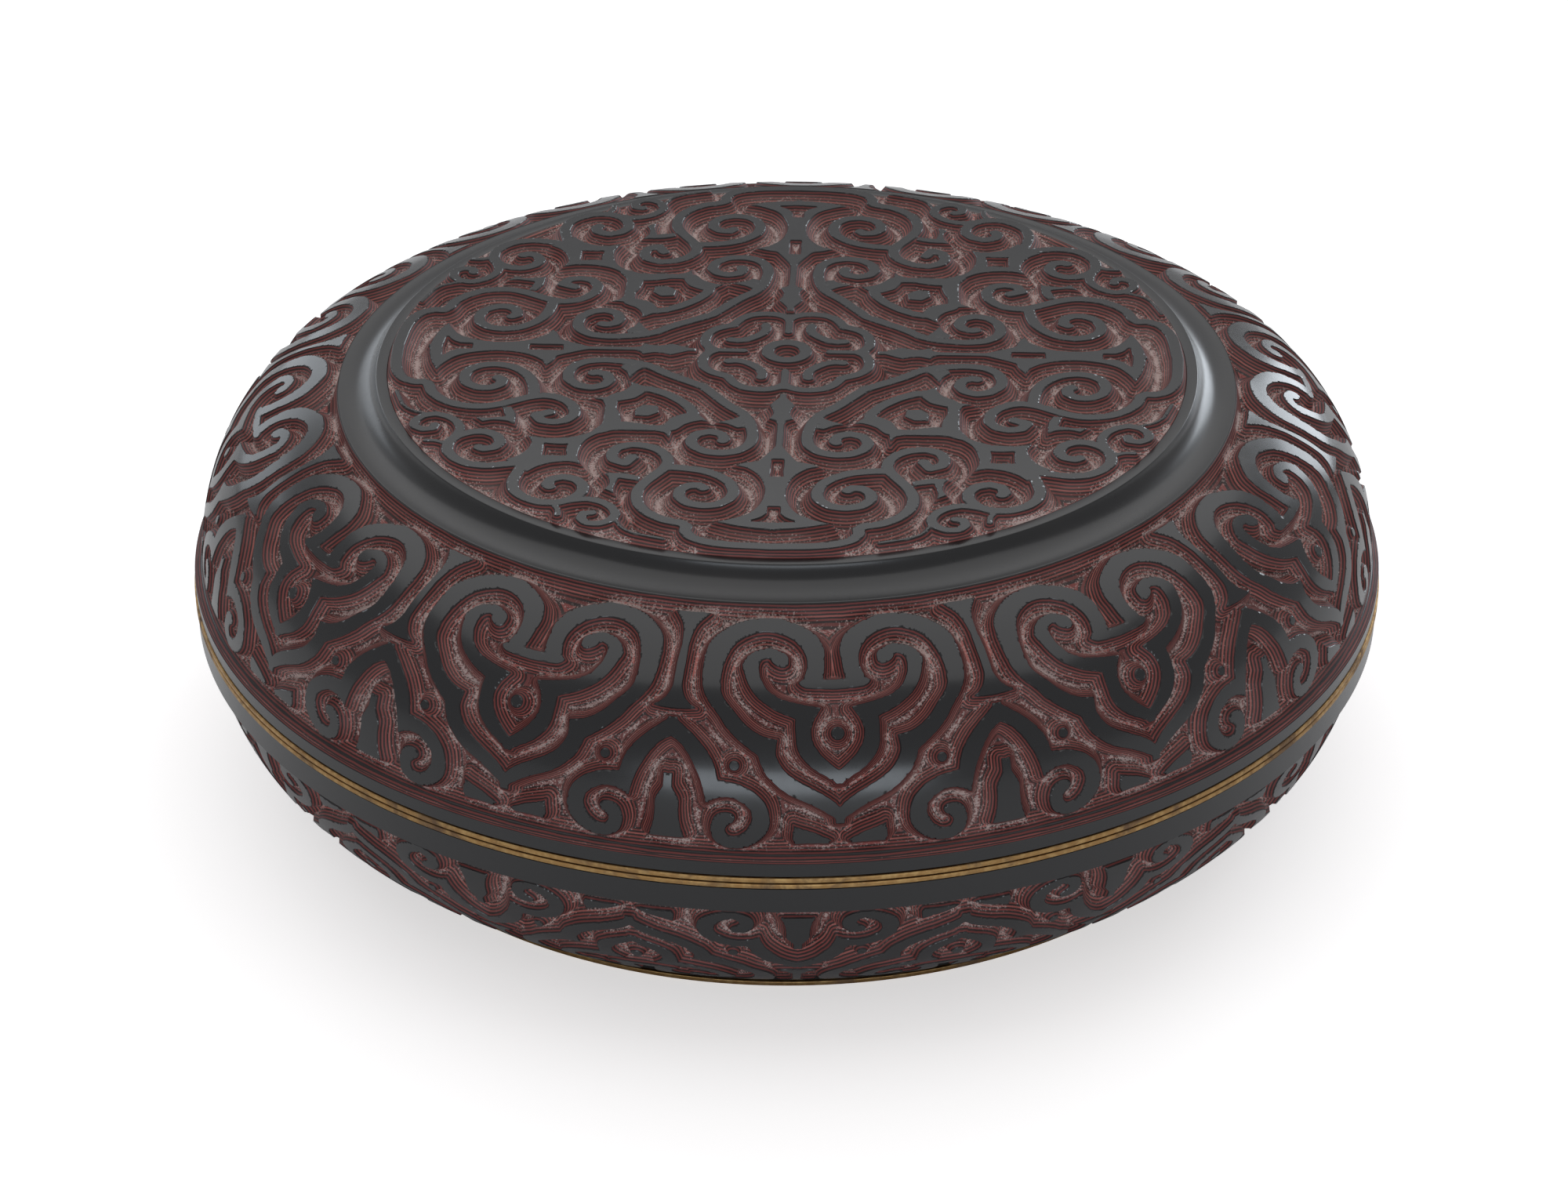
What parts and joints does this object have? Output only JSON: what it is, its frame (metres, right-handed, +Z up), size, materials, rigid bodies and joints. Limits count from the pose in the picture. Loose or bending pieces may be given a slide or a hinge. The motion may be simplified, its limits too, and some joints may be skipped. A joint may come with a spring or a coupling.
{
  "type": "round lacquer box",
  "caption": "Round carved lacquer box with a lift-off domed lid, brass-edged mouths, a guiding collar inside the base and a low foot ring.",
  "frame": {"origin": "centre of the foot ring's lower edge, on the surface that the box stands on", "axes": "+Z up along the axis of the round box; X and Y alike"},
  "size_m": [0.25, 0.25, 0.088],
  "materials": {
    "carved_lacquer": "carved lacquer, black over layers of dark red, satin",
    "black_lacquer": "smooth black lacquer, satin gloss",
    "core_wood": "plain sawn and bent softwood",
    "brass_edge": "worn, dull, patchy brass"
  },
  "bodies": {
    "base": {"base_lacquer": "carved_lacquer", "base_floor_board": "core_wood", "base_lower_hoop": "core_wood", "base_wall_hoop": "core_wood", "base_lining": "black_lacquer", "mouth_collar": "black_lacquer", "base_mouth_band": "brass_edge", "foot_hoop": "core_wood", "foot_lacquer": "black_lacquer", "underside_lacquer": "black_lacquer", "foot_band": "brass_edge"},
    "lid": {"lid_lacquer": "carved_lacquer", "lid_top_board": "core_wood", "lid_shoulder_hoop": "core_wood", "lid_wall_hoop": "core_wood", "lid_lining": "black_lacquer", "lid_mouth_band": "brass_edge"}
  },
  "joints": [
    {"name": "lid_lift", "type": "slide", "parent": "base", "child": "lid", "axis": [0, 0, 1], "range_m": [0, 0.12]}
  ]
}
